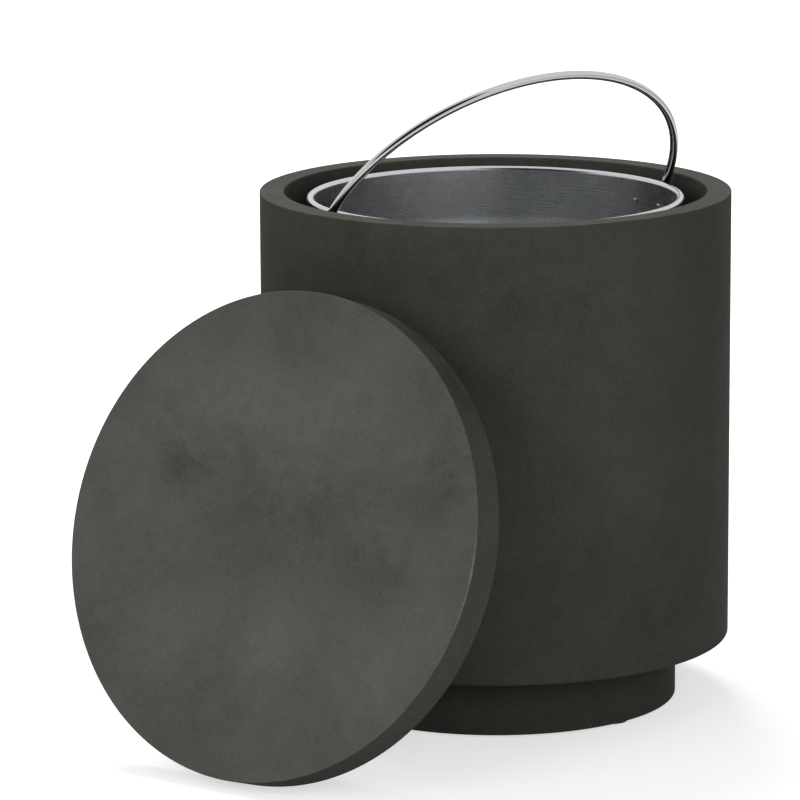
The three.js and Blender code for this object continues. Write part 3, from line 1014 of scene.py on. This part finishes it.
# %% [markdown]
# ## Steel and chrome
#
# The bucket was polished while it turned on a lathe, so its fine grooves run round it. On
# the wall they are level lines and on the base they are rings. Height plus radius grows
# along both, so noise that is drawn out along the circle and tight along that sum makes
# them all. The chrome rod is smooth, with only the slight waviness of hand polishing.

# %% Steel and chrome
STEEL = (0.56, 0.57, 0.58)
STEEL_ROUGH = 0.27
GROOVES_PER_METRE = 1500
DRAWN_OUT = 5
GROOVE = (1, 2.0, 0.6)
GROOVE_DEPTH = 0.000006
GROOVE_TONE = 0.06
GROOVE_ROUGH = 0.06
SMEAR = (0.03, 3.0, 0.6)
SMEAR_TONE = 0.05
SMEAR_ROUGH = 0.08
CHROME = (0.55, 0.55, 0.55)
CHROME_ROUGH = 0.07
WAVE = (0.012, 2.0, 0.5)
WAVE_DEPTH = 0.00001
HAZE = (0.004, 3.0, 0.6)
HAZE_TONE = 0.04
HAZE_ROUGH = 0.05


def steel(name, grooving):
    """Steel with fine grooves, at their full depth where the grooving is 1."""
    finish = Finish(name)
    x, y, z = finish.parts(finish.place())
    drawn = finish.joined(x * DRAWN_OUT, y * DRAWN_OUT, (z + distance(x, y)) * GROOVES_PER_METRE)
    grooves = finish.noise(drawn, *GROOVE)
    smears = finish.noise(finish.place(), *SMEAR)
    return finish.surface(
        grooves, GROOVE_DEPTH * grooving, Metallic=1.0,
        Base_Color=finish.shade(STEEL, 1 + grooves * GROOVE_TONE * grooving + smears * SMEAR_TONE),
        Roughness=(STEEL_ROUGH + grooves * GROOVE_ROUGH + smears * SMEAR_ROUGH).limited(),
    )


def chrome(name):
    finish = Finish(name)
    waves = finish.noise(finish.place(), *WAVE)
    haze = finish.noise(finish.place(), *HAZE)
    return finish.surface(
        waves, WAVE_DEPTH, Metallic=1.0, Base_Color=finish.shade(CHROME, 1 + haze * HAZE_TONE),
        Roughness=(CHROME_ROUGH + haze * HAZE_ROUGH).limited(),
    )


bucket_steel = steel("bucket_steel", grooving=1.0)
ear_steel = steel("ear_steel", grooving=0.6)
bail_chrome = chrome("bail_chrome")

# %% [markdown]
# ## Rubber, foam and pads
#
# The small soft pieces are plain, but not flat: rubber has a fine stipple from its mould,
# the foam's skin is pebbled, and the smoky pads are glossy with a few scuffs.

# %% Rubber, foam and pads
RUBBER = (0.012, 0.012, 0.012)
FOAM = (0.042, 0.043, 0.041)
SMOKE = (0.16, 0.16, 0.15)
STIPPLE_LAYERS = (2.0, 0.5)
STIPPLE_TONE = 0.3
PATCH_SIZE = 16
PATCH_LAYERS = (3.0, 0.6)
PATCH_ROUGH = 0.2
SOFT_SHINE = 0.4


def soft_finish(name, tint, size, depth, roughness, mottling):
    """A stipple of this size and depth, under patches some times as wide that mottle it."""
    finish = Finish(name)
    stipple = finish.noise(finish.place(), size, *STIPPLE_LAYERS)
    patches = finish.noise(finish.place(), size * PATCH_SIZE, *PATCH_LAYERS)
    return finish.surface(
        stipple, depth,
        Base_Color=finish.shade(tint, 1 + stipple * STIPPLE_TONE + patches * mottling),
        Roughness=(roughness + patches * PATCH_ROUGH).limited(), Specular_IOR_Level=SOFT_SHINE,
    )


glide_rubber = soft_finish("glide_rubber", RUBBER, size=0.0006, depth=0.00006, roughness=0.7, mottling=0.25)
plug_skin = soft_finish("plug_skin", FOAM, size=0.0014, depth=0.00022, roughness=0.62, mottling=0.3)
pad_skin = soft_finish("pad_skin", SMOKE, size=0.0008, depth=0.00003, roughness=0.35, mottling=0.2)

# %% [markdown]
# ## What rides on what
#
# Each piece rides on one body of the frame and stands for its own nodes. That is all that
# ties the looks to the motion: the table stays, and the bucket, its bail and the lid move.

# %% Ride, replace and dress
DRESSING = [
    (drum, "table", "drum_shell", drum_cement, "cast_cement"),
    (plinth, "table", "plinth", plinth_cement, "cast_cement"),
    (bucket, "bucket", "bucket_body", bucket_steel, "brushed_steel"),
    (foot_ring, "bucket", "bucket_foot_ring", bucket_steel, "brushed_steel"),
    (first_ear, "bucket", "bail_ear_1", ear_steel, "brushed_steel"),
    (second_ear, "bucket", "bail_ear_2", ear_steel, "brushed_steel"),
    (bail, "bail", "bail_handle", bail_chrome, "chrome"),
    (slab, "lid", "lid_slab", lid_cement, "cast_cement_face"),
    (plug, "lid", "lid_plug", plug_skin, "foam_skin"),
]
for number, rivet in enumerate(rivets, start=1):
    DRESSING.append((rivet, "bucket", f"ear_rivet_{number}", ear_steel, "brushed_steel"))
for number, pad in enumerate(pads, start=1):
    DRESSING.append((pad, "lid", f"lid_pad_{number}", pad_skin, "clear_pad"))
for node, glide in zip(GLIDES, glides):
    DRESSING.append((glide, "table", node, glide_rubber, "dark_rubber"))

for piece, body, node, material, slot in DRESSING:
    piece.data.materials.clear()
    piece.data.materials.append(material)
    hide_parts(node)
    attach(piece, body)
print(len(DRESSING), "pieces stand for", len(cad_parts), "nodes")

# %% [markdown]
# ## The studio
#
# A pale floor takes the table's shadow. It has a little light of its own, which only the
# camera and mirrors see, so that it is white away from the table. In mirrors the far floor
# is dimmer, or the lifted bucket would shine all white.

# %% Floor
FLOOR_RADIUS = 16
FLOOR_SIDES = 96
FLOOR_HEIGHT = -0.0022
FLOOR_TINT = (0.62, 0.62, 0.615)
FLOOR_GLOW = 0.60
MIRROR_DIM = 0.40
GLOW_FROM = 0.45
GLOW_REACH = 0.9
FLOOR_GRAIN = (0.004, 2.0, 0.5)
FLOOR_GRAIN_TONE = 0.01
FLOOR_RELIEF = 0.0001
FLOOR_ROUGH = 0.9
FLOOR_SHINE = 0.1

bpy.ops.mesh.primitive_circle_add(
    vertices=FLOOR_SIDES, radius=FLOOR_RADIUS, fill_type="NGON", location=(0, 0, FLOOR_HEIGHT),
)
floor = bpy.context.object
floor.name = "floor"


def ray(finish, kind):
    """1 on the rays of one kind, and 0 on all others."""
    return finish.node("ShaderNodeLightPath", out=f"Is {kind} Ray")


def seen_directly(finish):
    """1 for what the camera sees, directly, in a mirror or through glass."""
    return (ray(finish, "Camera") + ray(finish, "Glossy") + ray(finish, "Transmission")).limited()


floor_finish = Finish("floor")
fine = floor_finish.noise(floor_finish.place(), *FLOOR_GRAIN)
across_floor, along_floor, _ = floor_finish.parts(floor_finish.place())
away = ((distance(across_floor, along_floor) - GLOW_FROM) * (1 / GLOW_REACH)).limited()
farther = ray(floor_finish, "Camera") * (1 - FLOOR_GLOW) - ray(floor_finish, "Glossy") * MIRROR_DIM
glow = seen_directly(floor_finish) * FLOOR_GLOW + away * farther
floor_material = floor_finish.surface(
    fine, FLOOR_RELIEF, Base_Color=floor_finish.shade(FLOOR_TINT, 1 + fine * FLOOR_GRAIN_TONE),
    Roughness=FLOOR_ROUGH, Specular_IOR_Level=FLOOR_SHINE,
    Emission_Color=floor_finish.shade((1, 1, 1), glow), Emission_Strength=1.0,
)
floor.data.materials.append(floor_material)
floor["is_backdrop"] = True

# %% [markdown]
# The world is soft light from everywhere. Mirrors see it white, but for a dark zone at the
# upper front left, which gives the chrome rod its dark core. The size of the zone is a
# cosine: the nearer to 1, the smaller. Three lamps shape the drum. Mirrors don't see them,
# because their square outlines would show in the rod.

# %% World
AMBIENT = 0.31
DARK_TOWARDS = (-0.42, -0.75, 0.51)
DARK_ZONE = 0.77
DARK_EDGE = 12
DARK = 0.02

world = bpy.data.worlds.new("studio")
bpy.context.scene.world = world
world.use_nodes = True
sky = Finish("studio", world.node_tree)


def light_of(grey, strength):
    """Plain light of one grey from all round."""
    return sky.node("ShaderNodeBackground", None, {"Color": (grey, grey, grey, 1), "Strength": strength})


looking = sky.node("ShaderNodeTexCoord", out="Generated")
facing = sky.vector("DOT_PRODUCT", looking, DARK_TOWARDS, "Value")
dark = ((facing - DARK_ZONE) * DARK_EDGE).limited() * ray(sky, "Glossy")
shown = sky.node("ShaderNodeMixShader", None, {0: dark, 1: light_of(1, 1), 2: light_of(DARK, 1)})
both = sky.node("ShaderNodeMixShader", None, {0: seen_directly(sky), 1: light_of(1, AMBIENT), 2: shown})
sky.node("ShaderNodeOutputWorld", None, {"Surface": both})
print("world:", len(world.node_tree.nodes), "shader nodes")

# %% Lamps and view
LAMP_DISTANCE = 3.6
LAMP_SIZE = 1.6
LOOK_AT = Vector((0, 0, 0.25))


def lamp(name, around, above, power):
    """A square lamp that faces the table, this many degrees round from the front and up."""
    aim = turn(math.radians(around), "Z") @ turn(math.radians(90 - above), "X")
    bpy.ops.object.light_add(type="AREA")
    light = bpy.context.object
    light.name = name
    light.data.size = LAMP_SIZE
    light.data.energy = power
    light.visible_glossy = False
    light.matrix_world = Matrix.Translation(LOOK_AT) @ aim @ Matrix.Translation((0, 0, LAMP_DISTANCE))
    print(f"{name} lamp: {power} W")


lamp("key", around=-35, above=20, power=43)
lamp("front", around=18, above=20, power=44)
lamp("back", around=-160, above=60, power=95)
bpy.context.scene.view_settings.view_transform = "Standard"

# %% [markdown]
# Last, the finished surface is measured against the frame. It must fill the same box.

# %% Measure and finish
finished_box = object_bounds()
for corner, finished_corner in zip(measured_box, finished_box):
    print("box corner", [round(a * TO_MM, 2) for a in corner], [round(a * TO_MM, 2) for a in finished_corner])
